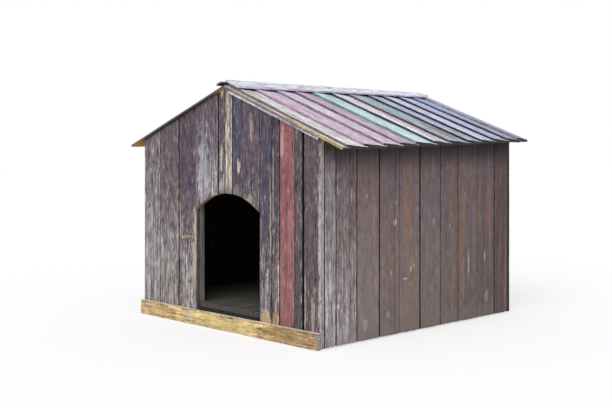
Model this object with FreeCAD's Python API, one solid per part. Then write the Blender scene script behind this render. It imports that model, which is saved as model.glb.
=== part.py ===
import FreeCAD, Part
import math
import os

os.makedirs("parts", exist_ok=True)

# Dog house of nailed boards. Millimetres, +Z up. The front wall faces -Y, +X is to the right
# of someone who looks at the front, and the origin is on the ground in the middle of the walls.

# Wall boards, from left to right and from front to back: the walls are as long as their boards
# lie side by side
board_thickness = 20.0
board_gap = 2.0
ground_gap = 4.0
front_board_widths = [130, 150, 130, 157, 42, 50, 67, 112, 75, 50, 87, 55, 95]
right_board_widths = [66, 122, 136, 126, 138, 141, 128, 148, 134, 105]
left_board_count = 10
rear_board_count = 9

# Doorway: the short boards above it are the 4th to the 8th of the front
boards_left_of_door = 3
boards_over_door = 5
door_spring_height = 516.0
door_crown_height = 592.0

# Roof planes: the underside of the roof
wall_height = 828.0
ridge_height = 1049.0
ridge_offset = 15.0

# Roof boards, which run down the slope: feather-edged, thin behind and thick in front, where a
# lip as wide as the lap reaches over the board before
roof_thin_edge = 10.0
roof_lip = 10.0
roof_lap = 24.0
roof_front_overhang = 15.0
starter_width = 45.0
starter_reveal = 23.0
right_exposures = [104, 126, 112, 112, 130, 120, 144, 106, 123, 120, 105, 98]
left_course_count = 12
right_eave_front = 766.0
right_eave_rear = 643.0
left_eave = 749.0

# Ridge and gable trim
cap_front_width = 98.0
cap_rear_width = 65.0
cap_thickness = 8.0
cap_over_ridge = 23.0
cap_front_setback = 5.0
cap_rear_setback = 74.0
ridge_lath_setback = 10.0
ridge_lath_width = 34.0
ridge_lath_thickness = 8.0
ridge_lath_overhang = 20.0
gable_lath_height = 12.0
gable_lath_depth = 10.0
gable_lath_start = 35.0

# Frame
post_size = 45.0
rail_width = 45.0
rail_height = 48.0
skid_width = 60.0
skid_height = 30.0
skid_offset = 450.0
plate_height = 40.0
heel_height = 30.0
rafter_depth = 60.0
rafter_width = 40.0
purlin_width = 40.0
purlin_depth = 30.0
purlin_run = 330.0
ridge_beam_width = 30.0
ridge_beam_depth = 75.0
beam_end_setback = 25.0
beam_clearance = 1.0
joist_count = 2
floor_board_thickness = 20.0
floor_board_count = 9
door_post_width = 45.0
door_post_depth = 24.0
header_height = 45.0
header_clearance = 15.0

# Sill board and peg
sill_height = 68.0
sill_thickness = 20.0
peg_diameter = 12.0
peg_reach = 45.0
peg_tenon_diameter = 10.0
peg_clearance = 0.1
peg_height = 391.0
peg_from_door = 46.0

# What lies on a sloping or curved seat stands this far off it
seat = 0.2

# A cut runs this far past both faces of a board
cut_allowance = 1.0

# Sizes that follow from the ones above
wall_width = sum(front_board_widths)
half_width = wall_width / 2
wall_length = sum(right_board_widths) + 2 * board_thickness
front_face = -wall_length / 2
rear_face = wall_length / 2
inner_front = front_face + board_thickness
inner_rear = rear_face - board_thickness
inner_side = half_width - board_thickness
frame_side = inner_side - post_size
floor_bottom = skid_height + rail_height
floor_top = floor_bottom + floor_board_thickness
door_left = -half_width + sum(front_board_widths[:boards_left_of_door])
door_right = door_left + sum(front_board_widths[boards_left_of_door:][:boards_over_door])
roof_front = front_face - roof_front_overhang
roof_rear = roof_front + starter_reveal + sum(right_exposures)
right_angle = math.atan((ridge_height - wall_height) / (half_width - ridge_offset))
left_angle = math.atan((ridge_height - wall_height) / (half_width + ridge_offset))


def box(x0, x1, y0, y1, z0, z1):
    return Part.makeBox(x1 - x0, y1 - y0, z1 - z0, FreeCAD.Vector(x0, y0, z0))


def prism(points, extent):
    """Solid swept from a closed outline of points along the vector extent."""
    outline = Part.makePolygon(points + points[:1])
    return Part.Face(outline).extrude(extent)


def gable_prism(profile, y0, y1):
    """Solid from an outline in the X-Z plane, between two Y positions."""
    points = [FreeCAD.Vector(x, y0, z) for x, z in profile]
    return prism(points, FreeCAD.Vector(0, y1 - y0, 0))


def slope_angle(side):
    return right_angle if side > 0 else left_angle


def roof_z(x, drop=0.0):
    """Height of the roof's underside above x, or of a plane that lies drop below it."""
    angle = slope_angle(1 if x > ridge_offset else -1)
    return ridge_height - abs(x - ridge_offset) * math.tan(angle) - drop / math.cos(angle)


def slope_point(side, run, y, rise):
    """Point at a run down the slope from the apex, rise above the roof's underside."""
    angle = slope_angle(side)
    x = ridge_offset + side * (run * math.cos(angle) + rise * math.sin(angle))
    z = ridge_height - run * math.sin(angle) + rise * math.cos(angle)
    return FreeCAD.Vector(x, y, z)


def slope_prism(side, section, run0, run1):
    """Solid from an outline of (y, rise) pairs, between two runs down a slope."""
    points = [slope_point(side, run0, y, rise) for y, rise in section]
    along = slope_point(side, run1, 0, 0) - slope_point(side, run0, 0, 0)
    return prism(points, along)


def slope_bar(side, run0, run1, y0, y1, rise0, rise1):
    section = [(y0, rise0), (y1, rise0), (y1, rise1), (y0, rise1)]
    return slope_prism(side, section, run0, run1)


def slope_plate(side, outline, rise0, rise1):
    """Solid from an outline of (run, y) pairs, between two rises off a slope."""
    points = [slope_point(side, run, y, rise0) for run, y in outline]
    up = slope_point(side, 0, 0, rise1) - slope_point(side, 0, 0, rise0)
    return prism(points, up)


def export(name, solids):
    shape = solids[0] if len(solids) == 1 else Part.makeCompound(solids)
    shape.exportStep("parts/" + name + ".step")


def gable_board(x0, x1, y0, y1, bottom):
    """Upright board whose top end is cut to the slope of the roof."""
    left = x0 + board_gap / 2
    right = x1 - board_gap / 2
    top = [(right, roof_z(right)), (left, roof_z(left))]
    if left < ridge_offset < right:
        top.insert(1, (ridge_offset, ridge_height))
    return gable_prism([(left, bottom), (right, bottom)] + top, y0, y1)


def through_front(radius, x, z):
    """Cylinder that cuts right through the front boards."""
    start = FreeCAD.Vector(x, front_face - cut_allowance, z)
    return Part.makeCylinder(radius, board_thickness + 2 * cut_allowance, start, FreeCAD.Vector(0, 1, 0))


def door_arch():
    """Round of the doorway: the cylinder that trims the short boards."""
    half_door = (door_right - door_left) / 2
    arch_rise = door_crown_height - door_spring_height
    radius = (half_door ** 2 + arch_rise ** 2) / (2 * arch_rise)
    return through_front(radius, door_left + half_door, door_crown_height - radius)


def front_boards():
    arch = door_arch()
    hole = through_front(peg_tenon_diameter / 2 + peg_clearance, door_left - peg_from_door, peg_height)
    left = -half_width
    for number, width in enumerate(front_board_widths, start=1):
        over_door = boards_left_of_door < number <= boards_left_of_door + boards_over_door
        bottom = door_spring_height if over_door else ground_gap
        board = gable_board(left, left + width, front_face, inner_front, bottom)
        if over_door:
            board = board.cut(arch)
        if number == boards_left_of_door:
            board = board.cut(hole)
        export("front_board_%02d" % number, board.Solids)
        left = left + width


def rear_boards():
    pitch = wall_width / rear_board_count
    beams = [ridge_beam(beam_clearance), purlin(1, beam_clearance), purlin(-1, beam_clearance)]
    boards = []
    for i in range(rear_board_count):
        left = -half_width + i * pitch
        board = gable_board(left, left + pitch, inner_rear, rear_face, ground_gap)
        for beam in beams:
            board = board.cut(beam)
        boards.append(board.Solids[0])
    export("rear_boards", boards)


def side_board(side, y0, y1):
    """Upright side board, bevelled on top to carry the roof boards."""
    outer = side * half_width
    inner = side * inner_side
    profile = [(inner, ground_gap), (outer, ground_gap), (outer, roof_z(outer)), (inner, roof_z(inner))]
    return gable_prism(profile, y0 + board_gap / 2, y1 - board_gap / 2)


def right_boards():
    front = inner_front
    for number, width in enumerate(right_board_widths, start=1):
        export("right_board_%02d" % number, [side_board(1, front, front + width)])
        front = front + width


def left_boards():
    pitch = (inner_rear - inner_front) / left_board_count
    boards = [side_board(-1, inner_front + i * pitch, inner_front + (i + 1) * pitch)
              for i in range(left_board_count)]
    export("left_boards", boards)


def course_sections(exposures):
    """Outline of each roof board as (y, rise) corners.

    The boards lie flat on the purlins. A rebate under each one's thick front edge laps over
    the thin rear edge of the board before it, and the first one's over the starter."""
    thin_rear = roof_front + starter_width
    thin_top = seat + roof_thin_edge
    under_slope = 0.0
    front = roof_front + starter_reveal
    sections = []
    for number, exposure in enumerate(exposures, start=1):
        lap = roof_lap if number < len(exposures) else 0.0
        rear = front + exposure + lap
        shoulder = thin_rear + seat
        lip_bottom = thin_top + seat + under_slope * (thin_rear - front)
        lip_top = lip_bottom + roof_lip
        sections.append([(front, lip_bottom), (shoulder, thin_top + seat), (shoulder, seat),
                         (rear, seat), (rear, thin_top), (front, lip_top)])
        under_slope = (lip_top - thin_top) / (rear - front)
        thin_rear = rear
        front = front + exposure
    return sections


def cap_seat(sections):
    """Rise of the highest edge that the ridge boards lie on."""
    return max(rise for section in sections for y, rise in section) + seat


def left_exposures():
    return [(roof_rear - roof_front - starter_reveal) / left_course_count] * left_course_count


def roof_starter(side, eave_run):
    starter_rear = roof_front + starter_width
    return slope_bar(side, 0, eave_run, roof_front, starter_rear, 0, roof_thin_edge)


def right_roof():
    """Right slope: its eave line runs in towards the wall from front to rear."""
    export("right_roof_starter", [roof_starter(1, right_eave_front)])
    for number, section in enumerate(course_sections(right_exposures), start=1):
        share = (section[0][0] - roof_front) / (roof_rear - roof_front)
        eave_run = right_eave_front + (right_eave_rear - right_eave_front) * share
        export("right_roof_board_%02d" % number, [slope_prism(1, section, 0, eave_run)])


def left_roof():
    export("left_roof_starter", [roof_starter(-1, left_eave)])
    sections = course_sections(left_exposures())
    export("left_roof_boards", [slope_prism(-1, section, 0, left_eave) for section in sections])


def ridge_trim():
    """Tapered cap board on the right slope, over the apex, and the lath under its left edge."""
    right_seat = cap_seat(course_sections(right_exposures))
    left_seat = cap_seat(course_sections(left_exposures()))
    cap_front = front_face + cap_front_setback
    cap_rear = roof_rear - cap_rear_setback
    outline = [(-cap_over_ridge, cap_front), (cap_front_width - cap_over_ridge, cap_front),
               (cap_rear_width - cap_over_ridge, cap_rear), (-cap_over_ridge, cap_rear)]
    export("ridge_cap_board", [slope_plate(1, outline, right_seat, right_seat + cap_thickness)])
    both = right_angle + left_angle
    lath_top = left_seat + ridge_lath_thickness
    lath_start = (lath_top * math.cos(both) - right_seat + seat) / math.sin(both)
    lath = slope_bar(-1, lath_start, lath_start + ridge_lath_width, front_face - ridge_lath_overhang,
                     roof_rear - ridge_lath_setback, left_seat, lath_top)
    export("ridge_lath", [lath])


def gable_lath():
    """White lath nailed to the front boards, tight under the right-hand edge of the roof."""
    end = (half_width - ridge_offset) / math.cos(right_angle)
    lath = slope_bar(1, gable_lath_start, end, front_face - gable_lath_depth, front_face,
                     -gable_lath_height, 0)
    export("gable_lath", [lath])


def ridge_beam(clearance=0.0):
    left = ridge_offset - ridge_beam_width / 2 - clearance
    right = ridge_offset + ridge_beam_width / 2 + clearance
    bottom = ridge_height - ridge_beam_depth - clearance
    profile = [(left, bottom), (right, bottom), (right, roof_z(right)), (ridge_offset, ridge_height),
               (left, roof_z(left))]
    return gable_prism(profile, inner_front, roof_rear - beam_end_setback)


def purlin(side, clearance=0.0):
    half = purlin_width / 2 + clearance
    return slope_bar(side, purlin_run - half, purlin_run + half, inner_front,
                     roof_rear - beam_end_setback, -purlin_depth - clearance, 0)


def plate_top(side):
    return roof_z(side * inner_side) - heel_height


def rafter(side, y0, y1):
    """Rafter with a plumb cut at the ridge beam, a birdsmouth over the plate and a housing
    for the purlin."""
    ridge_x = ridge_offset + side * ridge_beam_width / 2
    heel_x = side * inner_side
    mouth_x = side * frame_side
    profile = [(ridge_x, roof_z(ridge_x)), (heel_x, roof_z(heel_x)), (heel_x, plate_top(side)),
               (mouth_x, plate_top(side)), (mouth_x, roof_z(mouth_x, rafter_depth)),
               (ridge_x, roof_z(ridge_x, rafter_depth))]
    return gable_prism(profile, y0, y1).cut(purlin(side)).Solids[0]


def roof_frame():
    export("ridge_beam", [ridge_beam()])
    export("purlins", [purlin(1), purlin(-1)])
    export("front_rafters", [rafter(s, inner_front, inner_front + rafter_width) for s in (1, -1)])
    export("rear_rafters", [rafter(s, inner_rear - rafter_width, inner_rear) for s in (1, -1)])
    plates = []
    for side in (1, -1):
        x0, x1 = sorted((side * frame_side, side * inner_side))
        top = plate_top(side)
        plates.append(box(x0, x1, inner_front, inner_rear, top - plate_height, top))
    export("wall_plates", plates)


def wall_frame():
    posts = []
    for side in (1, -1):
        x0, x1 = sorted((side * frame_side, side * inner_side))
        top = plate_top(side) - plate_height
        posts.append(box(x0, x1, inner_front, inner_front + post_size, 0, top))
        posts.append(box(x0, x1, inner_rear - post_size, inner_rear, 0, top))
    export("corner_posts", posts)
    header_bottom = door_crown_height + header_clearance
    header = box(door_left, door_right, inner_front, inner_front + door_post_depth,
                 header_bottom, header_bottom + header_height)
    export("door_header", [header])
    door_posts = [door_post(door_left - door_post_width, door_left),
                  door_post(door_right, door_right + door_post_width)]
    export("door_posts", door_posts)


def door_post(x0, x1):
    """Post beside the doorway, from the floor to the underside of the rafter."""
    top = [(x1, roof_z(x1, rafter_depth)), (x0, roof_z(x0, rafter_depth))]
    return gable_prism([(x0, floor_top), (x1, floor_top)] + top, inner_front, inner_front + door_post_depth)


def floor_frame():
    skids = [box(x - skid_width / 2, x + skid_width / 2, inner_front, inner_rear, 0, skid_height)
             for x in (-skid_offset, 0, skid_offset)]
    export("skids", skids)
    export("front_rail", [box(-frame_side, frame_side, inner_front, inner_front + rail_width,
                              skid_height, floor_bottom)])
    export("rear_rail", [box(-frame_side, frame_side, inner_rear - rail_width, inner_rear,
                             skid_height, floor_bottom)])
    side_rails = []
    for side in (1, -1):
        x0, x1 = sorted((side * frame_side, side * inner_side))
        side_rails.append(box(x0, x1, inner_front + post_size, inner_rear - post_size,
                              skid_height, floor_bottom))
    export("side_rails", side_rails)
    joists = []
    for i in range(1, joist_count + 1):
        middle = inner_front + (inner_rear - inner_front) * i / (joist_count + 1)
        joists.append(box(-frame_side, frame_side, middle - rail_width / 2, middle + rail_width / 2,
                          skid_height, floor_bottom))
    export("floor_joists", joists)


def floor_boards():
    pitch = 2 * frame_side / floor_board_count
    boards = []
    for i in range(floor_board_count):
        left = -frame_side + i * pitch
        boards.append(box(left + board_gap / 2, left + pitch - board_gap / 2, inner_front, inner_rear,
                          floor_bottom, floor_top))
    export("floor_boards", boards)


def sill_board():
    export("sill_board", [box(-half_width, half_width, front_face - sill_thickness, front_face,
                              0, sill_height)])


def hanging_peg():
    """Round peg that stands out of the board beside the doorway, with its shoulder against the
    board and its tenon right through it."""
    outward = FreeCAD.Vector(0, -1, 0)
    shoulder = FreeCAD.Vector(door_left - peg_from_door, front_face, peg_height)
    peg = Part.makeCylinder(peg_diameter / 2, peg_reach, shoulder, outward)
    tenon = Part.makeCylinder(peg_tenon_diameter / 2, board_thickness, shoulder, -outward)
    export("hanging_peg", peg.fuse(tenon).Solids)


front_boards()
rear_boards()
right_boards()
left_boards()
right_roof()
left_roof()
ridge_trim()
gable_lath()
roof_frame()
wall_frame()
floor_frame()
floor_boards()
sill_board()
hanging_peg()
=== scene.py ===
import math

import bmesh
import bpy
from mathutils import Matrix, Vector, noise


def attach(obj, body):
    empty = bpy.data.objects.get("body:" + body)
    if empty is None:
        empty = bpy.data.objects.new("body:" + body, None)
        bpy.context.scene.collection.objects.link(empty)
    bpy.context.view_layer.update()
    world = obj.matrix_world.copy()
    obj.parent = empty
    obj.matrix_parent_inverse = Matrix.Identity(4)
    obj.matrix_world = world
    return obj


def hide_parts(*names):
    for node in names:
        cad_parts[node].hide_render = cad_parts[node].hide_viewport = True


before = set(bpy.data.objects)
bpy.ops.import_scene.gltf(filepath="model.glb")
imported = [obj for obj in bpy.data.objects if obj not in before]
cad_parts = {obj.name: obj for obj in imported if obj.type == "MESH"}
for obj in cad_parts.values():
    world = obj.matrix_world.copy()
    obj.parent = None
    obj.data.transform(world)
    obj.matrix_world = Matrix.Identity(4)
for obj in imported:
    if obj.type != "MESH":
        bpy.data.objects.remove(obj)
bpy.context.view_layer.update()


# ---------------------------------------------------------------------------------------------
# Camera. Level and at the height of the eaves, off the corner between the doorway's wall and
# the right-hand wall, with the horizon shifted up as the photograph frames it.
image_width = 612
focal_length_px = 945.95
horizon_above_middle_px = 52.1
camera_turn = math.radians(46.04)
sensor_width = 36.0

bpy.ops.object.camera_add(location=(3.2031, -3.2328, 0.7721),
                          rotation=(math.radians(90), 0, camera_turn))
camera = bpy.context.object
camera.name = "camera"
camera.data.sensor_width = sensor_width
camera.data.lens = focal_length_px * sensor_width / image_width
camera.data.shift_y = -horizon_above_middle_px / image_width
bpy.context.scene.camera = camera
bpy.context.scene.view_settings.view_transform = "Standard"


# ---------------------------------------------------------------------------------------------
# Floor and light. A white floor that keeps about half of the house's soft shadow, an even sky,
# and one broad soft lamp from high on the left of the camera.
class Shade:
    """One value in a material's node tree; sums and products of shades add Math nodes to it."""

    def __init__(self, socket):
        self.socket = socket
        self.tree = socket.id_data

    def node(self, kind, settings, feeds, output=0):
        """Any other node: its settings are made before its sockets are fed."""
        made = self.tree.nodes.new(kind)
        for name, value in settings.items():
            setattr(made, name, value)
        for key, value in feeds.items():
            if isinstance(value, Shade):
                self.tree.links.new(value.socket, made.inputs[key])
            else:
                made.inputs[key].default_value = value
        return Shade(made.outputs[output])

    def math(self, operation, first, second):
        return self.node("ShaderNodeMath", {"operation": operation}, {0: first, 1: second})

    def __add__(self, other):
        return self.math("ADD", self, other)

    def __sub__(self, other):
        return self.math("SUBTRACT", self, other)

    def __mul__(self, other):
        return self.math("MULTIPLY", self, other)

    def __rsub__(self, other):
        return self.math("SUBTRACT", other, self)

    __radd__ = __add__
    __rmul__ = __mul__


def seen_rays(tree):
    """1 for the rays that show a surface to the camera, 0 for those that gather its light."""
    rays = tree.nodes.new("ShaderNodeLightPath")
    direct, mirrored, through = (Shade(rays.outputs["Is %s Ray" % kind])
                                 for kind in ("Camera", "Glossy", "Transmission"))
    return direct + mirrored + through


floor_reach = 30.0
floor_grey = 0.9
floor_glow = 1.07
shadow_kept = 0.45
sky_light = 0.62
lamp_energy = 1.75
lamp_spread = math.radians(50)
lamp_direction = Vector((-0.30, 0.62, -0.72))

bpy.ops.mesh.primitive_plane_add(size=2 * floor_reach)
ground = bpy.context.object
ground.name = "ground"
ground_paint = bpy.data.materials.new("studio floor")
ground_paint.use_nodes = True
ground_tree = ground_paint.node_tree
ground_tree.nodes.remove(ground_tree.nodes["Principled BSDF"])
seen = seen_rays(ground_tree)
lit = seen.node("ShaderNodeBsdfDiffuse", {}, {"Color": (floor_grey, floor_grey, floor_grey, 1)})
glow = seen.node("ShaderNodeEmission", {}, {"Color": (1, 1, 1, 1), "Strength": floor_glow})
floor_mix = seen.node("ShaderNodeMixShader", {}, {0: seen * (1 - shadow_kept), 1: lit, 2: glow})
ground_tree.links.new(floor_mix.socket, ground_tree.nodes["Material Output"].inputs["Surface"])
ground.data.materials.append(ground_paint)

sky = bpy.data.worlds.new("even sky")
sky.use_nodes = True
bpy.context.scene.world = sky
sky_node = sky.node_tree.nodes["Background"]
sky_node.inputs["Color"].default_value = (1, 1, 1, 1)
sky_strength = seen_rays(sky.node_tree) * (1 - sky_light) + sky_light
sky.node_tree.links.new(sky_strength.socket, sky_node.inputs["Strength"])

bpy.ops.object.light_add(type="SUN", location=(0, 0, 3))
lamp = bpy.context.object
lamp.name = "soft_lamp"
lamp.data.energy = lamp_energy
lamp.data.angle = lamp_spread
lamp.rotation_mode = "QUATERNION"
lamp.rotation_quaternion = lamp_direction.to_track_quat("-Z", "Y")


# ---------------------------------------------------------------------------------------------
# Front wall. Thirteen sawn softwood boards of uneven width, nailed upright to the frame behind
# them, silvered where their old paint has gone. Each keeps the paint of the job it was taken
# from. The middle five are short and were sawn to a round over the doorway.
UP = Vector((0, 0, 1))
RIGHT = Vector((1, 0, 0))
BACK = Vector((0, 1, 0))
same_point = 0.00002
snap = 0.0005


def solids_of(node):
    """Corner points of each solid in a CAD node."""
    mesh = bmesh.new()
    mesh.from_mesh(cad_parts[node].data)
    bmesh.ops.remove_doubles(mesh, verts=mesh.verts, dist=same_point)
    left = set(mesh.verts)
    solids = []
    for start in mesh.verts:
        if start not in left:
            continue
        left.remove(start)
        found = [start]
        for corner in found:
            for edge in corner.link_edges:
                other = edge.other_vert(corner)
                if other in left:
                    left.remove(other)
                    found.append(other)
        solids.append([corner.co.copy() for corner in found])
    mesh.free()
    return solids


def lie_of(corners, across, depth, along):
    """Where a board lies: its three directions, its lowest corner and its size along each."""
    axes = (across, depth, along)
    low = [min(corner.dot(axis) for corner in corners) for axis in axes]
    size = [max(corner.dot(axis) for corner in corners) - start for axis, start in zip(axes, low)]
    origin = sum((axis * start for axis, start in zip(axes, low)), Vector())
    return {"axes": axes, "origin": origin, "size": size}


def select_edges_along(mesh, direction):
    nearly_parallel = 0.95
    for edge in mesh.edges:
        run = (edge.verts[1].co - edge.verts[0].co).normalized()
        edge.select = abs(run.dot(direction)) > nearly_parallel
    mesh.select_flush_mode()


def sawn_board(name, lie, cuts_along, cuts_across, planes=()):
    """A cube at the board's size and place, divided both ways, and its ends cut to planes."""
    across, depth, along = lie["axes"]
    size = lie["size"]
    centre = lie["origin"] + sum((axis * s / 2 for axis, s in zip(lie["axes"], size)), Vector())
    turn = Matrix((depth.cross(along), depth, along)).transposed()
    bpy.ops.object.select_all(action="DESELECT")
    bpy.ops.mesh.primitive_cube_add(size=1, location=centre, rotation=turn.to_euler(), scale=size)
    piece = bpy.context.object
    piece.name = name
    bpy.ops.object.transform_apply(location=True, rotation=True, scale=True)
    bpy.ops.object.mode_set(mode="EDIT")
    bpy.ops.mesh.select_mode(type="EDGE")
    for direction, cuts in ((along, cuts_along), (across, cuts_across)):
        mesh = bmesh.from_edit_mesh(piece.data)
        select_edges_along(mesh, direction)
        bmesh.update_edit_mesh(piece.data)
        if cuts:
            bpy.ops.mesh.subdivide(number_cuts=cuts)
    for point, normal in planes:
        bpy.ops.mesh.select_all(action="SELECT")
        bpy.ops.mesh.bisect(plane_co=point, plane_no=normal, use_fill=True, clear_outer=True)
    bpy.ops.object.mode_set(mode="OBJECT")
    return piece


def apply_modifier(piece, kind, **settings):
    bpy.context.view_layer.objects.active = piece
    modifier = piece.modifiers.new(kind.lower(), kind)
    for key, value in settings.items():
        setattr(modifier, key, value)
    bpy.ops.object.modifier_apply(modifier=modifier.name)


def rough(u, s, seed, across, along):
    """Even noise from -1 to 1 that is drawn out along the grain."""
    return noise.noise(Vector((u * across + seed * 7.3, s * along - seed * 3.1, seed * 1.7)))


def weather(piece, lie, seed, bevel=0.0016, cup=0.001, proud=0.0, nibble=0.0015,
            ragged=(0.002, 0.002), chips=0.003):
    """Rounds the arrises and wears the board: cupped, nibbled at its edges, ragged at its ends."""
    edge_reach = 0.004
    end_reach = 0.02
    furrow = 0.0007
    apply_modifier(piece, "BEVEL", width=bevel, segments=2, limit_method="ANGLE", angle_limit=0.6)
    across, depth, along = lie["axes"]
    width, thick, length = lie["size"]
    for vertex in piece.data.vertices:
        where = vertex.co - lie["origin"]
        u, w, s = where.dot(across), where.dot(depth), where.dot(along)
        side = 2 * u / width - 1
        outer = 1 - w / thick
        near_edge = max(0.0, 1 - min(u, width - u) / edge_reach)
        bite = nibble * (0.5 + 0.5 * rough(side * 0.4, s, seed, 1, 45))
        bite += chips * max(0.0, rough(side, s, seed + 4, 1, 11) - 0.25)
        shift_u = -math.copysign(1, side) * bite * near_edge
        hollow = cup * (side * side - 0.4) + furrow * rough(u, s, seed + 9, 70, 5)
        shift_w = outer * (hollow - proud)
        shift_s = 0.0
        for end, give, sign in ((s, ragged[0], 1), (length - s, ragged[1], -1)):
            near_end = max(0.0, 1 - end / end_reach)
            shift_s += sign * near_end * give * (0.6 + 0.6 * rough(u, w, seed + 2, 55, 30))
        vertex.co += across * shift_u + depth * shift_w + along * shift_s
    bpy.context.view_layer.objects.active = piece
    piece.select_set(True)
    bpy.ops.object.shade_smooth_by_angle(angle=math.radians(35))


def mark_grain(piece, lie):
    """Stores each point's distance across, into and along the board, and how each face turns."""
    piece.data.attributes.new("grain", "FLOAT_VECTOR", "POINT")
    piece.data.attributes.new("facing", "FLOAT_VECTOR", "FACE")
    grain = piece.data.attributes["grain"].data
    facing = piece.data.attributes["facing"].data
    across, depth, along = lie["axes"]
    for vertex in piece.data.vertices:
        where = vertex.co - lie["origin"]
        grain[vertex.index].vector = [where.dot(axis) for axis in lie["axes"]]
    for face in piece.data.polygons:
        normal = face.normal
        turn = (abs(normal.dot(across)), normal.dot(depth), abs(normal.dot(along)))
        facing[face.index].vector = turn


def rgb(red, green, blue):
    """A colour as it looks, 0 to 255, as the shader wants it."""
    return tuple(((c / 255 + 0.055) / 1.055) ** 2.4 if c > 10 else c / 255 / 12.92
                 for c in (red, green, blue)) + (1.0,)


def step(value, low, high):
    """0 below low, 1 above high, and smooth between."""
    return value.node("ShaderNodeMapRange", {"interpolation_type": "SMOOTHSTEP"},
                      {0: value, 1: low, 2: high})


def mix(factor, first, second):
    return factor.node("ShaderNodeMix", {"data_type": "RGBA"}, {0: factor, 6: first, 7: second}, 2)


def dim(colour, value):
    """A colour made lighter or darker by a value."""
    colour = colour if isinstance(colour, Shade) else colour[:3]
    return value.node("ShaderNodeVectorMath", {"operation": "SCALE"}, {0: colour, "Scale": value})


def streaks(u, w, s, across, along, seed, detail=4.0, coarse=0.55):
    """Noise that runs with the grain: so many cycles a metre across it and along it."""
    where = u.node("ShaderNodeCombineXYZ", {}, {0: u * across + seed, 1: w * across, 2: s * along})
    return u.node("ShaderNodeTexNoise", {},
                  {"Vector": where, "Scale": 1.0, "Detail": detail, "Roughness": coarse})


def patch_mask(u, s, spot, ragged):
    """A worn patch: (middle across, middle along, half width, half length)."""
    middle_u, middle_s, half_u, half_s = spot
    du = (u - middle_u) * (1 / half_u)
    ds = (s - middle_s) * (1 / half_s)
    return 1 - step(du * du + ds * ds + ragged, 0.55, 0.9)


def read_attribute(tree, name):
    """The three values of a stored attribute."""
    read = tree.nodes.new("ShaderNodeAttribute")
    read.attribute_name = name
    parts = tree.nodes.new("ShaderNodeSeparateXYZ")
    tree.links.new(read.outputs["Vector"], parts.inputs[0])
    return [Shade(parts.outputs[i]) for i in range(3)]


# What a look says: colours, how worn the board is at its two ends (top and low), how much it
# has of each fault, how much painted shadow it has under the eave (shade), and its patches, each
# with its place, its colour and its strength
plain_look = {
    "seed": 0.0, "paint": rgb(98, 86, 95), "paint_low": rgb(98, 86, 95), "tint": rgb(84, 74, 86),
    "tint_by": 0.5, "bare": rgb(146, 138, 137), "bare_dark": rgb(104, 96, 96),
    "fleck": rgb(186, 180, 182), "worn_top": 0.1, "worn_low": 0.5, "fleck_top": 0.1,
    "fleck_low": 0.3, "edge_wear": 0.25, "back": rgb(38, 33, 30), "side": rgb(44, 38, 38),
    "end": rgb(70, 62, 58), "edge_white": 0.35, "crack": 0.75, "patches": (), "flake_across": 95.0,
    "flake_along": 20.0, "contrast": 1.0, "dirt": rgb(92, 86, 76), "dirt_up_to": 0.06, "shade": 0.0,
    "shade_down_to": 0.08, "rust": rgb(116, 88, 78), "rust_by": 0.5, "rust_along": 5.0,
    "back_ends": rgb(38, 33, 30), "side_top": None, "side_top_from": 0.48, "seam_at": -1.0,
    "specks": 0.5,
}


def feed_shader(material, colour, roughness, relief, bump, specular):
    """Gives a wood material its colour, its roughness and the relief of its grain."""
    tree = material.node_tree
    shader = tree.nodes["Principled BSDF"]
    normal = relief.node("ShaderNodeBump", {},
                         {"Strength": bump, "Distance": 0.0012, "Height": relief})
    tree.links.new(colour.socket, shader.inputs["Base Color"])
    tree.links.new(roughness.socket, shader.inputs["Roughness"])
    tree.links.new(normal.socket, shader.inputs["Normal"])
    shader.inputs["Specular IOR Level"].default_value = specular


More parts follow.
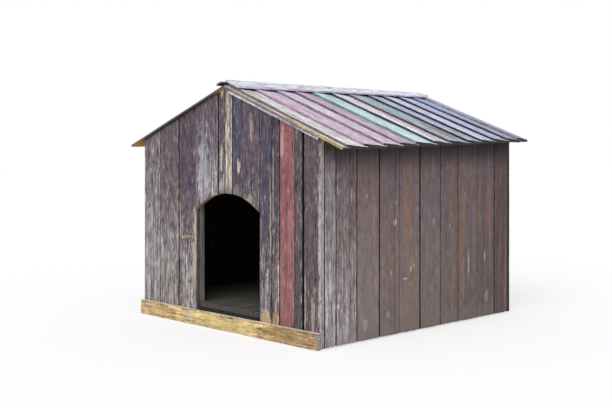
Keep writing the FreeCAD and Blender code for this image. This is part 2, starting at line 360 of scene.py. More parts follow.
def old_paint(name, lie, look):
    """Flaking paint over silvered wood. What is bare, painted and flecked follows the grain."""
    look = {**plain_look, **look}
    width, thick, length = lie["size"]
    material = bpy.data.materials.new(name)
    material.use_nodes = True
    u, w, s = read_attribute(material.node_tree, "grain")
    face_side, face_back, face_end = read_attribute(material.node_tree, "facing")
    seed = look["seed"]
    contrast = look["contrast"]

    # The grain wanders, so everything that follows it is read at a place a little aside
    wander = streaks(u, w, s, 9, 1.9, seed + 5, 2.0)
    g = u + (wander - 0.5) * 0.03
    fibre = streaks(g, w, s, 420, 10, seed, 3.0)
    band = streaks(g, w, s, 95, 3.2, seed + 11, 5.0, 0.6)
    broad = streaks(g, w, s, 20, 1.4, seed + 23, 3.0)
    flake = streaks(g, w, s, look["flake_across"], look["flake_along"], seed + 37, 8.0, 0.7)
    fleck = streaks(g, w, s, 190, 48, seed + 53, 6.0, 0.66)
    ragged = (flake - 0.5) * 6.0 + (fleck - 0.5) * 3.5 + (fibre - 0.5) * 1.5

    # Where the paint has come off: more towards one end, and along the edges
    up = step(s * (1 / length), 0.1, 0.95)
    from_edge = u.math("MINIMUM", u, width - u)
    edge = 1 - step(from_edge, 0.0, 0.012)
    wear = up * (look["worn_top"] - look["worn_low"]) + look["worn_low"] + edge * look["edge_wear"]
    loose = flake * 0.62 + fleck * 0.14 + band * 0.12 + broad * 0.12
    painted = step(loose - wear * 0.32 - 0.335, -0.022, 0.026)

    # The bare wood, the paint and its stains
    wood = mix(step(fibre * 0.5 + band * 0.5, 0.38, 0.62), look["bare_dark"], look["bare"])
    fleck_wear = up * (look["fleck_top"] - look["fleck_low"]) + look["fleck_low"]
    flecked = step(fleck * 0.6 + band * 0.4 + fleck_wear * 0.34, 0.66, 0.70)
    wood = mix(flecked, wood, look["fleck"])
    paint = mix(up, look["paint_low"], look["paint"])
    paint = mix(step(broad * 0.5 + band * 0.5, 0.42, 0.6) * look["tint_by"], paint, look["tint"])
    rust = streaks(g, w, s, 42, look["rust_along"], seed + 31, 4.0)
    paint = mix(step(rust, 0.50, 0.66) * look["rust_by"], paint, look["rust"])
    colour = mix(painted, wood, paint)

    # Light and dark fibres, pale specks, and the patches that each board's look names
    blotch = streaks(g, w, s, 38, 15, seed + 67, 5.0, 0.6)
    grit = streaks(g, w, s, 150, 32, seed + 101, 3.0, 0.6)
    uneven = ((fibre - 0.5) * 1.0 + (band - 0.5) * 1.6 + (grit - 0.5) * 2.2
              + (blotch - 0.5) * 2.4 + (broad - 0.5) * 1.0)
    colour = dim(colour, uneven * contrast + 1)
    scattered = grit + (band - 0.5) * 0.4 + (flake - 0.5) * 0.3 + (blotch - 0.5) * 0.9
    specks = step(scattered, 0.65, 0.76) * look["specks"]
    colour = mix(specks, colour, look["fleck"])
    for spot, spot_colour, strength in look["patches"]:
        grained = dim(spot_colour, (fibre - 0.5) * 1.2 + (band - 0.5) * 1.0 + 1)
        colour = mix(patch_mask(u, s, spot, ragged) * strength, colour, grained)

    # Splits, fine checks and a long seam
    line = streaks(g, w, s, 60, 1.5, seed + 71, 3.0)
    hair = streaks(g, w, s, 140, 5, seed + 83, 3.0)
    split = 1 - step(line.math("ABSOLUTE", line - 0.5, 0.0), 0.001, 0.008)
    split = split * step(broad, 0.40, 0.56)
    check = 1 - step(hair.math("ABSOLUTE", hair - 0.5, 0.0), 0.004, 0.018)
    check = check * step(band, 0.40, 0.60)
    cracked = u.math("MAXIMUM", split, check * 0.55) * look["crack"]
    aside = g - look["seam_at"]
    seam = 1 - step(aside.math("ABSOLUTE", aside, 0.0), 0.0010, 0.0024)
    cracked = u.math("MAXIMUM", cracked, seam)
    colour = dim(colour, 1 - cracked * 0.72)

    # Rubbed edges, earth splashed on the foot, and painted shadow under the eave
    chalk = streaks(u, w, s, 3, 30, seed + 97, 4.0)
    rim = (1 - step(from_edge, 0.0010, 0.0045)) * step(chalk, 0.44, 0.58) * look["edge_white"]
    colour = mix(rim, colour, look["fleck"])
    foot = (1 - step(s + (band - 0.5) * 0.09, 0.0, look["dirt_up_to"])) * 0.55
    colour = mix(foot, colour, look["dirt"])
    # Painted shadow: the colour darkens towards the board's top, where the eave shades it
    painted_eave_shadow = 1 - step(length - s + (band - 0.5) * 0.04, 0.04, look["shade_down_to"])
    colour = dim(colour, 1 - painted_eave_shadow * look["shade"])

    # The side, end and back faces, each with a colour of its own. The back faces, inside the house,
    # are a very dark brown: old unpainted wood, darkened further with painted shade
    side_top = look["side_top"] or look["side"]
    side_up = s * (1 / length) + (flake - 0.5) * 0.9 - look["side_top_from"]
    side = mix(step(side_up, -0.06, 0.06), look["side"], side_top)
    side_grain = (fibre - 0.5) * 1.6 + (flake - 0.5) * 2.2 + (fleck - 0.5) * 2.4
    grained_side = dim(side, side_grain + 1)
    colour = mix(step(face_side, 0.8, 0.95), colour, grained_side)
    colour = mix(step(face_end, 0.45, 0.55), colour, dim(look["end"], (fleck - 0.5) * 2.0 + 1))
    near_end = 1 - step(s.math("MINIMUM", s, length - s) + (band - 0.5) * 0.3, 0.04, 0.12)
    inner = mix(near_end, look["back"], look["back_ends"])
    colour = mix(step(face_back, 0.6, 0.8), colour, dim(inner, fibre * 0.8 + 0.6))

    relief = painted * 0.35 + fibre * 0.45 + band * 0.25 - cracked * 1.6
    feed_shader(material, colour, 0.93 - painted * 0.17, relief, 0.7, 0.25)
    return material


def hand_over(piece, material, slot, *nodes):
    piece.data.materials.clear()
    piece.data.materials.append(material)
    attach(piece, "root")
    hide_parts(*nodes)


front_names = ["front_board_%02d" % number for number in range(1, 14)]
front_corners = [solids_of(name)[0] for name in front_names]


def top_corner(corners, side):
    """The upper corner of a board on the side that a direction points to."""
    reach = max(corner.dot(side) for corner in corners)
    return max((corner for corner in corners if corner.dot(side) > reach - snap), key=lambda c: c.z)


ridge_point = max((corner for corners in front_corners for corner in corners), key=lambda c: c.z)
left_foot = top_corner(front_corners[0], -RIGHT)
right_foot = top_corner(front_corners[-1], RIGHT)
left_slope = ridge_point - left_foot
right_slope = right_foot - ridge_point
for slope in (left_slope, right_slope):
    slope.y = 0
    slope.normalize()
left_normal = left_slope.cross(BACK)
right_normal = right_slope.cross(BACK)
roof_planes = ((ridge_point, left_normal), (ridge_point, right_normal))

# The round over the doorway: from the springing at its two sides to the crown. The saw runs
# a little past the doorway's two sides.
saw_play = 0.001
door_left = min(corner.x for corner in front_corners[3]) - saw_play
door_right = max(corner.x for corner in front_corners[7]) + saw_play
spring_height = min(corner.z for corner in front_corners[3])
crown_height = 0.592
half_door = (door_right - door_left) / 2
arch_rise = crown_height - spring_height
arch_radius = (half_door ** 2 + arch_rise ** 2) / (2 * arch_rise)

beige = rgb(182, 168, 148)
cream = rgb(198, 186, 166)
dark_purple = rgb(84, 73, 84)

# For each board its gap to the next one, how far it stands proud of its neighbours, and its look
front_looks = [
    {
        "slot": "grey_brown_board", "seed": 3.0, "gap": 0.002, "paint": rgb(106, 95, 100),
        "paint_low": rgb(128, 120, 121), "bare": rgb(170, 163, 164),
        "bare_dark": rgb(120, 112, 114), "worn_top": 0.42, "worn_low": 0.86, "fleck_low": 0.3,
        "fleck_top": 0.12, "fleck": rgb(184, 178, 184),
    },
    {
        "slot": "grey_brown_board", "seed": 17.0, "gap": 0.004, "proud": 0.001,
        "paint": rgb(102, 90, 96), "paint_low": rgb(126, 117, 117), "bare": rgb(162, 154, 154),
        "bare_dark": rgb(122, 113, 113), "worn_top": 0.16, "worn_low": 0.78, "fleck_low": 0.18,
        "fleck_top": 0.0,
    },
    {
        "slot": "dark_board", "seed": 29.0, "paint": rgb(86, 74, 85), "paint_low": rgb(90, 80, 88),
        "tint": rgb(80, 71, 86), "bare": rgb(168, 158, 156), "bare_dark": rgb(120, 110, 110),
        "worn_top": 0.1, "worn_low": 0.66, "fleck_low": 0.46, "side": rgb(92, 90, 92),
        "patches": (
            ((0.112, 0.30, 0.016, 0.16), beige, 0.9),
            ((0.118, 0.44, 0.012, 0.10), cream, 0.75),
        ),
    },
    {
        "slot": "grey_brown_board", "seed": 41.0, "gap": 0.005, "proud": 0.0015,
        "paint": rgb(101, 89, 100), "paint_low": rgb(118, 110, 116), "bare": rgb(152, 145, 147),
        "bare_dark": rgb(104, 96, 102), "fleck": rgb(192, 191, 200), "worn_top": 0.2,
        "worn_low": 0.84, "fleck_top": 0.1, "fleck_low": 0.36, "end": rgb(156, 118, 78),
        "patches": (((0.05, 0.18, 0.034, 0.17), rgb(178, 178, 190), 0.45),),
    },
    {
        "slot": "dark_board", "seed": 53.0, "paint": dark_purple, "paint_low": rgb(82, 73, 87),
        "worn_top": 0.12, "worn_low": 0.38, "bare": rgb(160, 152, 156), "fleck": rgb(196, 190, 196),
        "fleck_low": 0.5,
        "patches": (
            ((0.024, 0.46, 0.014, 0.035), cream, 0.85),
            ((0.03, 0.04, 0.03, 0.06), rgb(184, 178, 182), 0.7),
            ((0.02, 0.16, 0.012, 0.06), cream, 0.85),
        ),
    },
    {
        "slot": "pale_board", "seed": 61.0, "paint": rgb(176, 165, 156),
        "paint_low": rgb(170, 160, 153), "tint": rgb(144, 134, 128), "bare": rgb(190, 180, 170),
        "bare_dark": rgb(132, 121, 115), "worn_top": 0.55, "worn_low": 0.6, "fleck": cream,
        "contrast": 1.4, "crack": 0.9,
    },
    {
        "slot": "slate_blue_board", "seed": 71.0, "gap": 0.003, "proud": -0.002,
        "paint": rgb(76, 74, 92), "paint_low": rgb(78, 71, 86), "tint": rgb(68, 68, 87),
        "worn_top": 0.04, "worn_low": 0.18, "fleck_low": 0.4, "rust_by": 0.15,
        "patches": (
            ((0.042, 0.13, 0.012, 0.032), cream, 0.9),
            ((0.03, 0.02, 0.03, 0.04), rgb(150, 138, 146), 0.7),
        ),
    },
    {
        "slot": "dark_board", "seed": 83.0, "paint": rgb(94, 83, 94), "paint_low": rgb(92, 81, 90),
        "worn_top": 0.12, "worn_low": 0.4, "fleck_low": 0.4, "tint": rgb(80, 73, 88),
        "bare_dark": rgb(90, 80, 84),
        "patches": (
            ((0.06, 0.36, 0.012, 0.06), beige, 0.55),
            ((0.04, 0.03, 0.045, 0.05), beige, 0.6),
        ),
    },
    {
        "slot": "slate_blue_board", "seed": 97.0, "paint": rgb(76, 73, 89),
        "paint_low": rgb(86, 78, 84), "bare": rgb(158, 149, 148), "bare_dark": rgb(98, 90, 92),
        "worn_top": 0.04, "worn_low": 0.6, "fleck_low": 0.42, "tint": rgb(72, 70, 86),
        "flake_along": 18.0,
        "patches": (
            ((0.04, 0.035, 0.05, 0.075), rgb(196, 160, 118), 0.9),
            ((0.068, 0.50, 0.006, 0.16), beige, 0.6),
        ),
    },
    {
        "slot": "slate_blue_board", "seed": 103.0, "gap": 0.005, "proud": -0.002,
        "paint": rgb(68, 66, 80), "paint_low": rgb(96, 86, 88), "tint": rgb(60, 60, 76),
        "bare": rgb(160, 144, 136), "worn_top": 0.05, "worn_low": 0.56, "fleck": rgb(196, 180, 166),
        "fleck_low": 0.4,
        "patches": (
            ((0.005, 0.60, 0.006, 0.22), beige, 0.7),
            ((0.02, 0.05, 0.05, 0.06), rgb(200, 166, 130), 0.9),
            ((0.046, 0.5, 0.004, 0.3), rgb(170, 166, 172), 0.7),
        ),
    },
    {
        "slot": "red_board", "seed": 113.0, "proud": 0.001, "paint": rgb(139, 88, 92),
        "paint_low": rgb(136, 91, 89), "tint": rgb(144, 103, 106), "bare": rgb(172, 140, 138),
        "bare_dark": rgb(128, 92, 92), "fleck": rgb(196, 168, 168), "worn_top": 0.1,
        "worn_low": 0.2, "fleck_low": 0.1, "tint_by": 0.55, "side": rgb(120, 84, 84), "crack": 0.4,
        "contrast": 0.75, "specks": 0.2, "rust_by": 0.1,
        "patches": (((0.012, 0.80, 0.018, 0.08), rgb(190, 150, 152), 0.7),),
    },
    {
        "slot": "dark_board", "seed": 127.0, "gap": 0.013, "proud": -0.002,
        "paint": rgb(88, 81, 88), "paint_low": rgb(84, 80, 84), "tint": rgb(74, 71, 82),
        "worn_top": 0.1, "worn_low": 0.22, "fleck_low": 0.12,
    },
    {
        "slot": "dark_board", "seed": 139.0, "paint": rgb(98, 84, 92), "paint_low": rgb(93, 83, 88),
        "bare": rgb(160, 148, 142), "bare_dark": rgb(96, 86, 88), "fleck": rgb(212, 204, 200),
        "worn_top": 0.14, "worn_low": 0.36, "fleck_low": 0.44, "edge_wear": 0.32,
        "side": rgb(158, 152, 156), "side_top": rgb(148, 116, 92), "side_top_from": 0.93,
        "patches": (
            ((0.086, 0.40, 0.008, 0.36), rgb(192, 184, 180), 0.7),
            ((0.05, 0.12, 0.012, 0.12), beige, 0.6),
            ((0.088, 0.70, 0.008, 0.03), rgb(156, 112, 80), 0.8),
        ),
    },
]

# A board whose foot is higher than this is one of the short ones over the doorway
short_from = 0.3

for name, corners, look in zip(front_names, front_corners, front_looks):
    lie = lie_of(corners, RIGHT, BACK, UP)
    lie["size"][0] -= look.get("gap", 0.0)
    short = lie["origin"].z > short_from
    board = sawn_board(name + "_worn", lie, 26 if short else 52, 7, roof_planes)
    if short:
        bpy.ops.mesh.primitive_cylinder_add(
            vertices=160, radius=arch_radius, depth=0.2, rotation=(math.radians(90), 0, 0),
            location=(door_left + half_door, lie["origin"].y, crown_height - arch_radius))
        saw = bpy.context.object
        apply_modifier(board, "BOOLEAN", operation="DIFFERENCE", object=saw, solver="EXACT")
        bpy.data.objects.remove(saw)
    foot = 0.0006 if short else 0.003
    weather(board, lie, look["seed"], proud=look.get("proud", 0.0), ragged=(foot, 0.001))
    mark_grain(board, lie)
    hand_over(board, old_paint(name + " paint", lie, look), look["slot"], name)


# ---------------------------------------------------------------------------------------------
# Right wall. Ten wider boards under one coat of brown paint that has gone chalky, streaked
# with rust and blue-grey from the roof, and rubbed pale on the two boards next to the corner.
# Board by board towards the rear, the paint is given darker
taupe_looks = [
    {
        "gap": 0.001, "set_back": 0.003, "paint": rgb(128, 114, 114),
        "paint_low": rgb(134, 124, 124), "worn_top": 0.4, "worn_low": 0.86,
        "bare": rgb(176, 169, 172), "bare_dark": rgb(128, 119, 120), "fleck": rgb(200, 194, 200),
        "fleck_low": 0.4, "contrast": 0.7, "dirt": rgb(146, 140, 138), "edge_white": 0.5,
        "specks": 0.35,
    },
    {
        "gap": 0.004, "paint": rgb(118, 102, 103), "paint_low": rgb(124, 112, 111),
        "worn_top": 0.26, "worn_low": 0.62, "bare": rgb(168, 159, 160),
        "bare_dark": rgb(122, 110, 110), "fleck": rgb(190, 184, 190), "fleck_low": 0.4,
        "contrast": 0.7, "dirt": rgb(150, 144, 144), "seam_at": 0.077, "edge_white": 0.6,
        "specks": 0.3,
        "patches": (
            ((0.045, 0.62, 0.012, 0.05), rgb(142, 134, 146), 0.5),
            ((0.047, 0.076, 0.02, 0.05), rgb(184, 178, 184), 0.6),
        ),
    },
    {
        "gap": 0.003, "paint": rgb(125, 106, 103), "paint_low": rgb(140, 124, 118),
        "patches": (
            ((0.056, 0.588, 0.006, 0.012), rgb(176, 164, 160), 0.7),
            ((0.10, 0.535, 0.02, 0.03), rgb(142, 130, 130), 0.5),
            ((0.043, 0.062, 0.02, 0.03), rgb(176, 168, 166), 0.6),
        ),
    },
    {
        "paint": rgb(117, 101, 104), "paint_low": rgb(125, 110, 105), "seam_at": 0.092,
        "patches": (
            ((0.102, 0.556, 0.006, 0.012), rgb(170, 158, 160), 0.7),
            ((0.093, 0.471, 0.010, 0.016), rgb(190, 180, 182), 0.8),
            ((0.039, 0.476, 0.008, 0.006), rgb(140, 130, 148), 0.6),
            ((0.070, 0.262, 0.006, 0.012), rgb(178, 166, 160), 0.8),
            ((0.052, 0.09, 0.014, 0.02), rgb(170, 160, 156), 0.55),
        ),
    },
    {
        "gap": 0.004, "paint": rgb(121, 102, 102), "paint_low": rgb(130, 115, 108),
        "patches": (
            ((0.090, 0.281, 0.006, 0.010), rgb(190, 180, 174), 0.85),
            ((0.074, 0.266, 0.006, 0.012), rgb(184, 174, 168), 0.8),
            ((0.035, 0.229, 0.018, 0.005), rgb(184, 176, 174), 0.8),
            ((0.067, 0.206, 0.005, 0.012), rgb(160, 148, 144), 0.7),
        ),
    },
    {
        "gap": 0.002, "paint": rgb(114, 97, 98), "paint_low": rgb(124, 110, 104),
        "patches": (
            ((0.088, 0.462, 0.006, 0.014), rgb(168, 154, 150), 0.7),
            ((0.090, 0.66, 0.005, 0.008), rgb(150, 140, 140), 0.6),
        ),
    },
    {
        "paint": rgb(110, 92, 93), "paint_low": rgb(112, 100, 97),
        "patches": (((0.065, 0.441, 0.006, 0.01), rgb(156, 142, 140), 0.6),),
    },
    {
        "paint": rgb(107, 90, 93), "paint_low": rgb(107, 96, 92),
        "patches": (((0.074, 0.256, 0.007, 0.055), rgb(176, 166, 158), 0.8),),
    },
    {
        "gap": 0.003, "paint": rgb(102, 85, 88), "paint_low": rgb(101, 90, 87),
        "tint": rgb(90, 82, 94),
        "patches": (
            ((0.053, 0.281, 0.006, 0.03), rgb(184, 172, 162), 0.85),
            ((0.067, 0.096, 0.018, 0.03), rgb(150, 142, 136), 0.6),
        ),
    },
    {
        "paint": rgb(93, 74, 75), "paint_low": rgb(91, 78, 75), "tint": rgb(84, 74, 80),
        "dirt": rgb(96, 88, 84),
    },
]
# Its shade and shade_down_to paint a shadow under the eave, darkest at the top of the wall
taupe_base = {
    "tint": rgb(104, 96, 108), "tint_by": 0.6, "bare": rgb(156, 146, 144),
    "bare_dark": rgb(112, 98, 96), "fleck": rgb(184, 174, 174), "worn_top": 0.06, "worn_low": 0.22,
    "fleck_top": 0.05, "fleck_low": 0.2, "edge_wear": 0.12, "edge_white": 0.4, "contrast": 0.4,
    "specks": 0.1, "crack": 0.35, "flake_across": 75.0, "flake_along": 9.0, "side": rgb(50, 42, 40),
    "dirt": rgb(122, 113, 104), "dirt_up_to": 0.10, "rust": rgb(144, 108, 90), "rust_by": 0.6,
    "rust_along": 1.2, "shade": 0.72, "shade_down_to": 0.16,
}
right_top = (right_foot, right_normal)

for number, look in enumerate(taupe_looks, start=1):
    name = "right_board_%02d" % number
    lie = lie_of(solids_of(name)[0], BACK, -RIGHT, UP)
    lie["origin"] += BACK * look.get("set_back", 0.0)
    lie["size"][0] -= look.get("gap", 0.0) + look.get("set_back", 0.0)
    board = sawn_board(name + "_worn", lie, 44, 8, [right_top])
    weather(board, lie, 200 + number * 3.7, cup=0.0012, nibble=0.0011, chips=0.002,
            proud=0.0006 * (-1) ** number, ragged=(0.003, 0.0005))
    mark_grain(board, lie)
    look = {**taupe_base, "seed": 150.0 + 9 * number, **look}
    hand_over(board, old_paint(name + " paint", lie, look), "taupe_board", name)


# ---------------------------------------------------------------------------------------------
# Left and rear walls. The same boards and brown paint, out of the camera's sight. Each wall is
# one piece of boards nailed side by side.
def join_boards(name, boards):
    """One piece from boards that lie side by side."""
    bpy.ops.object.select_all(action="DESELECT")
    for board in boards:
        board.select_set(True)
    bpy.context.view_layer.objects.active = boards[0]
    if len(boards) > 1:
        bpy.ops.object.join()
    boards[0].name = name
    boards[0].data.name = name
    return boards[0]


def in_order(node, direction):
    """A node's solids, from the first to the last in a direction."""
    return sorted(solids_of(node), key=lambda solid: min(corner.dot(direction) for corner in solid))


def board_wall(node, across, depth, planes, seed):
    boards = []
    for number, corners in enumerate(in_order(node, across)):
        lie = lie_of(corners, across, depth, UP)
        board = sawn_board("%s_%d" % (node, number), lie, 40, 6, planes)
        weather(board, lie, seed + number * 2.9, proud=0.0005 * (-1) ** number,
                ragged=(0.003, 0.0005))
        mark_grain(board, lie)
        boards.append(board)
    wall = join_boards(node + "_worn", boards)
    # The brown look brings its painted shadow under the eave along
    look = {**taupe_base, "seed": seed, "paint": rgb(110, 93, 94), "paint_low": rgb(116, 103, 99),
            "worn_low": 0.3, "fleck_low": 0.2}
    hand_over(wall, old_paint(node + " paint", lie, look), "taupe_board", node)


board_wall("left_boards", -BACK, RIGHT, [(left_foot, left_normal)], 310.0)
board_wall("rear_boards", RIGHT, -BACK, roof_planes, 340.0)


# ---------------------------------------------------------------------------------------------
# Sill board. A planed board nailed flat across the foot of the front wall, gone ochre with
# lichen that grows in bands along the grain; its right end is bare and grey.
sill_look = {
    "seed": 401.0, "paint": rgb(205, 183, 148), "paint_low": rgb(193, 167, 132),
    "tint": rgb(206, 182, 114), "tint_by": 0.6, "bare": rgb(210, 192, 152),
    "bare_dark": rgb(150, 120, 80), "fleck": rgb(220, 208, 176), "worn_top": 0.36, "worn_low": 0.36,
    "fleck_top": 0.2, "fleck_low": 0.3, "edge_wear": 0.3, "specks": 0.35,
    "side": rgb(214, 204, 190), "end": rgb(154, 149, 148), "crack": 0.8, "contrast": 1.3,
    "flake_across": 150.0, "flake_along": 30.0, "dirt_up_to": 0.001, "dirt": rgb(168, 124, 70),
    "rust": rgb(160, 118, 72), "rust_by": 0.7, "back": rgb(60, 50, 40),
    "patches": (
        ((0.04, 0.39, 0.026, 0.04), rgb(192, 186, 174), 0.6),
        ((0.03, 0.08, 0.06, 0.20), rgb(196, 166, 118), 0.5),
        ((0.03, 0.62, 0.04, 0.24), rgb(218, 196, 128), 0.5),
        ((0.03, 1.06, 0.05, 0.2), rgb(156, 122, 82), 0.75),
    ),
}
sill_lie = lie_of(solids_of("sill_board")[0], UP, BACK, RIGHT)
sill = sawn_board("sill_board_worn", sill_lie, 60, 5)
weather(sill, sill_lie, 405.0, bevel=0.002, ragged=(0.001, 0.001), nibble=0.0012)
mark_grain(sill, sill_lie)
hand_over(sill, old_paint("sill lichen", sill_lie, sill_look), "lichen_board", "sill_board")


# ---------------------------------------------------------------------------------------------
# Roof, right slope. Twelve thin boards run from ridge to eave, each lapped over the one in
# front of it, on a narrow starter board at the gable. They come from other painted work and
# keep its colours: chalk white, lilac, mauve and mint, with darker paint left on their edges.
margin = 0.01


def roof_board(name, corners, side, cuts_along, cuts_across):
    """A board of the roof and its lie: flat below, thin at the rear, its front lip rebated."""
    slope = right_slope if side > 0 else -left_slope
    normal = right_normal if side > 0 else left_normal
    lie = lie_of(corners, BACK, -normal, slope)
    width, thick, length = lie["size"]
    bottom = min(corner.dot(normal) for corner in corners)
    front = min(corner.y for corner in corners)
    section = [(corner.y - front, corner.dot(normal) - bottom) for corner in corners]
    lip = [rise for y, rise in section if y < snap]
    thin_top = max(rise for y, rise in section if y > width - snap)
    shoulder = min(y for y, rise in section if rise < snap)
    fall = max(lip) - thin_top
    planes = [(lie["origin"], (BACK * fall + normal * width).normalized())] if fall > snap else []
    piece = sawn_board(name, lie, cuts_along, cuts_across, planes)
    if shoulder > snap:
        step_top = max(rise for y, rise in section if abs(y - shoulder) < snap)
        rebate_size = [shoulder + margin, step_top + margin, length + 2 * margin]
        underside = lie["origin"] + lie["axes"][1] * thick
        rebate = {"axes": lie["axes"], "size": rebate_size,
                  "origin": underside - BACK * margin - slope * margin - lie["axes"][1] * step_top}
        cutter = sawn_board("rebate", rebate, 0, 0)
        for vertex in cutter.data.vertices:
            where = vertex.co - rebate["origin"]
            if where.y < margin and where.dot(lie["axes"][1]) < snap:
                vertex.co += normal * (min(lip) - step_top) * (shoulder + margin) / shoulder
        apply_modifier(piece, "BOOLEAN", operation="DIFFERENCE", object=cutter, solver="EXACT")
        bpy.data.objects.remove(cutter)
    return piece, lie


roof_base = {
    "worn_top": 0.3, "worn_low": 0.42, "fleck_top": 0.3, "fleck_low": 0.4, "edge_wear": 0.3,
    "side": rgb(84, 82, 92), "end": rgb(56, 53, 57), "back": rgb(92, 78, 62), "crack": 0.8,
    "contrast": 0.5, "tint_by": 0.8, "flake_across": 130.0, "flake_along": 6.0, "dirt_up_to": 0.001,
    "bare": rgb(190, 182, 190), "bare_dark": rgb(142, 130, 140), "fleck": rgb(236, 234, 240),
    "rust": rgb(176, 146, 168), "rust_by": 0.35, "rust_along": 2.0, "edge_white": 0.6,
    "specks": 0.5,
}
roof_looks = [
    {
        "slot": "chalk_white_roof", "paint": rgb(240, 239, 246), "paint_low": rgb(240, 239, 246),
        "tint": rgb(224, 220, 230), "bare": rgb(206, 198, 198), "bare_dark": rgb(128, 112, 106),
        "side": rgb(124, 112, 106), "crack": 1.0, "worn_top": 0.36, "worn_low": 0.4,
        "patches": (((0.04, 0.10, 0.05, 0.10), rgb(150, 136, 122), 0.6),),
    },
    {
        "slot": "lilac_roof", "paint": rgb(216, 206, 226), "paint_low": rgb(214, 208, 230),
        "tint": rgb(200, 170, 192), "side": rgb(176, 144, 160), "rust": rgb(196, 120, 140),
        "patches": (((0.0, 0.30, 0.012, 0.06), rgb(176, 66, 84), 0.8),),
    },
    {
        "slot": "lilac_roof", "paint": rgb(218, 208, 226), "paint_low": rgb(226, 220, 240),
        "tint": rgb(200, 184, 206), "side": rgb(154, 134, 150),
    },
    {
        "slot": "mauve_roof", "paint": rgb(202, 180, 202), "paint_low": rgb(194, 172, 194),
        "tint": rgb(188, 156, 182), "side": rgb(132, 106, 124), "worn_top": 0.1, "worn_low": 0.14,
        "edge_wear": 0.1,
    },
    {
        "slot": "mint_roof", "paint": rgb(216, 226, 234), "paint_low": rgb(214, 226, 234),
        "tint": rgb(190, 216, 220), "side": rgb(104, 158, 144), "side_top": rgb(122, 168, 158),
        "rust": rgb(150, 200, 190),
        "patches": (((0.0, 0.3, 0.016, 0.5), rgb(126, 190, 172), 0.75),),
    },
    {
        "slot": "chalk_white_roof", "paint": rgb(220, 226, 244), "paint_low": rgb(242, 238, 252),
        "tint": rgb(214, 202, 218), "side": rgb(60, 64, 82), "rust": rgb(190, 164, 172),
        "patches": (
            ((0.0, 0.4, 0.008, 0.6), rgb(66, 72, 96), 0.8),
            ((0.09, 0.45, 0.02, 0.25), rgb(168, 130, 132), 0.5),
        ),
    },
    {
        "slot": "mint_roof", "paint": rgb(164, 196, 214), "paint_low": rgb(164, 188, 200),
        "tint": rgb(150, 178, 184), "side": rgb(104, 88, 84), "side_top": rgb(88, 70, 64),
        "worn_top": 0.36,
        "patches": (
            ((0.02, 0.30, 0.012, 0.3), rgb(150, 120, 112), 0.6),
            ((0.10, 0.55, 0.04, 0.12), rgb(140, 96, 74), 0.75),
        ),
    },
    {
        "slot": "chalk_white_roof", "paint": rgb(200, 210, 232), "paint_low": rgb(178, 190, 214),
        "tint": rgb(176, 190, 214), "side": rgb(62, 64, 86),
        "patches": (
            ((0.0, 0.4, 0.006, 0.6), rgb(70, 74, 98), 0.8),
            ((0.07, 0.58, 0.03, 0.10), rgb(150, 112, 88), 0.6),
        ),
    },
    {
        "slot": "chalk_white_roof", "paint": rgb(224, 224, 238), "paint_low": rgb(222, 222, 236),
        "tint": rgb(200, 200, 222), "side": rgb(50, 58, 82), "side_top": rgb(54, 56, 70),
        "patches": (((0.0, 0.4, 0.011, 0.6), rgb(58, 70, 104), 0.85),),
    },
    {
        "slot": "grey_lilac_roof", "paint": rgb(186, 196, 220), "paint_low": rgb(200, 222, 250),
        "tint": rgb(172, 180, 204), "side": rgb(58, 64, 92),
        "patches": (((0.0, 0.4, 0.009, 0.6), rgb(66, 76, 108), 0.85),),
    },
    {
        "slot": "grey_lilac_roof", "paint": rgb(164, 166, 190), "paint_low": rgb(182, 184, 206),
        "tint": rgb(148, 148, 172), "bare": rgb(170, 170, 188), "fleck": rgb(204, 206, 222),
        "rust": rgb(150, 144, 164), "side": rgb(70, 98, 134), "side_top": rgb(54, 50, 56),
        "worn_top": 0.16, "worn_low": 0.2,
    },
    {
        "slot": "grey_lilac_roof", "paint": rgb(158, 163, 187), "paint_low": rgb(192, 196, 218),
        "tint": rgb(156, 156, 178), "bare": rgb(180, 180, 196), "fleck": rgb(204, 206, 222),
        "rust": rgb(154, 150, 166), "side": rgb(138, 137, 156), "worn_top": 0.16, "worn_low": 0.2,
    },
]

for number, look in enumerate(roof_looks, start=1):
    name = "right_roof_board_%02d" % number
    board, lie = roof_board(name + "_worn", solids_of(name)[0], 1, 44, 7)
    weather(board, lie, 500 + number * 5.3, bevel=0.0012, cup=0.0008, nibble=0.001, chips=0.003,
            ragged=(0.0, 0.008))
    mark_grain(board, lie)
    look = {**roof_base, "seed": 450.0 + 13 * number, **look}
    hand_over(board, old_paint(name + " paint", lie, look), look["slot"], name)

starter_corners = solids_of("right_roof_starter")[0]
starter, starter_lie = roof_board("right_roof_starter_worn", starter_corners, 1, 44, 4)
weather(starter, starter_lie, 590.0, bevel=0.0012, cup=0.0, nibble=0.001, ragged=(0.0, 0.004))
mark_grain(starter, starter_lie)
starter_look = {
    **roof_base, "seed": 601.0, "paint": rgb(236, 232, 232), "paint_low": rgb(226, 220, 214),
    "side": rgb(128, 116, 110), "side_top": rgb(176, 154, 88), "side_top_from": 0.62,
    "tint": rgb(176, 156, 140), "crack": 1.0, "worn_top": 0.4,
}
hand_over(starter, old_paint("starter paint", starter_lie, starter_look), "lichen_board",
          "right_roof_starter")


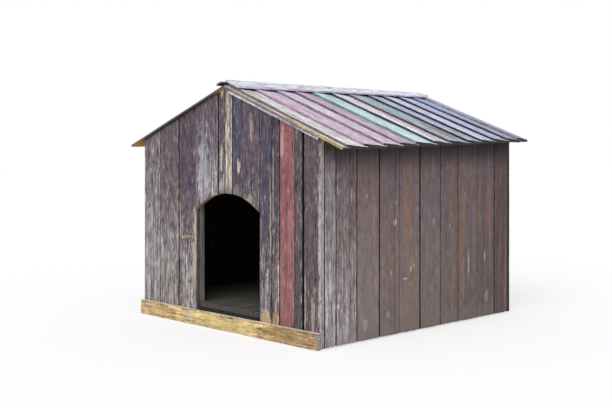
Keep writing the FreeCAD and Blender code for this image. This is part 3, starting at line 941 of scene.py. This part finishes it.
# ---------------------------------------------------------------------------------------------
# Roof, left slope. Lapped boards like the right slope's, dark and bare; only their front edge
# and the ochre underside of their eave show.
def left_roof(node, slot, seed):
    boards = []
    for number, corners in enumerate(in_order(node, BACK)):
        board, lie = roof_board("%s_%d" % (node, number), corners, -1, 36, 5)
        weather(board, lie, seed + number * 4.1, bevel=0.0012, cup=0.0005, nibble=0.001,
                ragged=(0.0, 0.006))
        mark_grain(board, lie)
        boards.append(board)
    slope = join_boards(node + "_worn", boards)
    look = {**roof_base, "seed": seed, "paint": rgb(112, 112, 118), "paint_low": rgb(118, 116, 120),
            "tint": rgb(98, 98, 106), "side": rgb(84, 86, 94), "side_top": rgb(92, 90, 88),
            "back": rgb(50, 42, 36), "back_ends": rgb(182, 130, 50)}
    hand_over(slope, old_paint(node + " wood", lie, look), slot, node)


left_roof("left_roof_boards", "slate_roof_edge", 620.0)
left_roof("left_roof_starter", "slate_roof_edge", 680.0)


# ---------------------------------------------------------------------------------------------
# Ridge and gable trim. A grey cap board lies on the right slope and reaches over the apex; the
# narrow lath under its left edge lies on the left slope. A white lath closes the right-hand
# gable under the roof's edge.
ridge_trim = (
    ("ridge_cap_board", 1, 700.0, "grey_lilac_roof", rgb(232, 234, 246), rgb(204, 206, 224)),
    ("ridge_lath", -1, 710.0, "slate_roof_edge", rgb(120, 118, 126), rgb(100, 98, 108)),
)
for node, side, seed, slot, top_colour, edge_colour in ridge_trim:
    slope = right_slope if side > 0 else -left_slope
    normal = right_normal if side > 0 else left_normal
    corners = solids_of(node)[0]
    lie = lie_of(corners, slope, -normal, BACK)
    width, thick, length = lie["size"]
    trim = sawn_board(node + "_worn", lie, 60, 4)
    rear = max(corner.y for corner in corners)
    rear_reach = max(corner.dot(slope) for corner in corners if corner.y > rear - snap)
    taper = 1 - (rear_reach - lie["origin"].dot(slope)) / width
    for vertex in trim.data.vertices:
        where = vertex.co - lie["origin"]
        vertex.co -= slope * where.dot(slope) * taper * where.y / length
    weather(trim, lie, seed, bevel=0.0012, cup=0.0004, nibble=0.0012, ragged=(0.004, 0.004))
    mark_grain(trim, lie)
    look = {**roof_base, "seed": seed, "paint": top_colour, "paint_low": top_colour,
            "tint": edge_colour, "side": edge_colour, "end": edge_colour, "contrast": 0.7,
            "rust_by": 0.1}
    hand_over(trim, old_paint(node + " wood", lie, look), slot, node)

lath_lie = lie_of(solids_of("gable_lath")[0], -right_normal, BACK, right_slope)
lath = sawn_board("gable_lath_worn", lath_lie, 44, 2)
weather(lath, lath_lie, 720.0, bevel=0.001, cup=0.0, nibble=0.0008, chips=0.004,
        ragged=(0.0, 0.004))
mark_grain(lath, lath_lie)
lath_look = {
    **roof_base, "seed": 731.0, "paint": rgb(222, 220, 232), "paint_low": rgb(226, 224, 234),
    "tint": rgb(196, 192, 214), "side": rgb(196, 192, 204), "worn_top": 0.3, "worn_low": 0.24,
    "bare": rgb(150, 142, 152), "bare_dark": rgb(84, 76, 82), "contrast": 0.8,
}
hand_over(lath, old_paint("gable lath paint", lath_lie, lath_look), "chalk_white_roof",
          "gable_lath")


# ---------------------------------------------------------------------------------------------
# Frame and floor. Rough battens and boards that never had paint, brown with age and dust; only
# the post beside the doorway gets daylight. The timbers inside the house are given a darker copy
# of the same wood, which is painted shade.
def bare_timber(name, light, dark, grain_axis):
    """Unpainted sawn softwood: brown bands along the batten."""
    material = bpy.data.materials.new(name)
    material.use_nodes = True
    place = Shade(material.node_tree.nodes.new("ShaderNodeTexCoord").outputs["Object"])
    scale = [85.0, 85.0, 85.0]
    scale[grain_axis] = 3.0
    stretched = place.node("ShaderNodeVectorMath", {"operation": "MULTIPLY"}, {0: place, 1: scale})
    band, fibre = (place.node("ShaderNodeTexNoise", {},
                              {"Vector": stretched, "Scale": fineness, "Detail": detail})
                   for fineness, detail in ((1.0, 5.0), (4.0, 3.0)))
    colour = mix(step(band * 0.6 + fibre * 0.4, 0.36, 0.64), dark, light)
    feed_shader(material, colour, band * 0.15 + 0.8, band * 0.5 + fibre * 0.5, 0.6, 0.2)
    return material


along_x, along_y, along_z = 0, 1, 2
# One wood in two copies: the lighter for timbers in daylight, the darker, painted shade, for those
# inside
dusty_daylit = (rgb(140, 132, 132), rgb(92, 82, 80))
in_shade = (rgb(60, 54, 50), rgb(36, 32, 30))
trodden = (rgb(92, 90, 84), rgb(60, 58, 54))
pale = (rgb(206, 198, 178), rgb(150, 140, 112))
timbers = {
    "door_posts": (along_z, dusty_daylit), "purlins": (along_y, dusty_daylit), "ridge_beam": (along_y, dusty_daylit),
    "corner_posts": (along_z, in_shade), "door_header": (along_x, in_shade),
    "front_rail": (along_x, in_shade), "rear_rail": (along_x, in_shade),
    "side_rails": (along_y, in_shade), "floor_joists": (along_x, in_shade),
    "skids": (along_y, in_shade), "wall_plates": (along_y, in_shade),
    "front_rafters": (along_x, in_shade), "rear_rafters": (along_x, in_shade),
    "floor_boards": (along_y, trodden), "hanging_peg": (along_y, pale),
}
for node, (grain_axis, (light, dark)) in timbers.items():
    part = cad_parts[node]
    part.data.materials.clear()
    part.data.materials.append(bare_timber(node + " wood", light, dark, grain_axis))
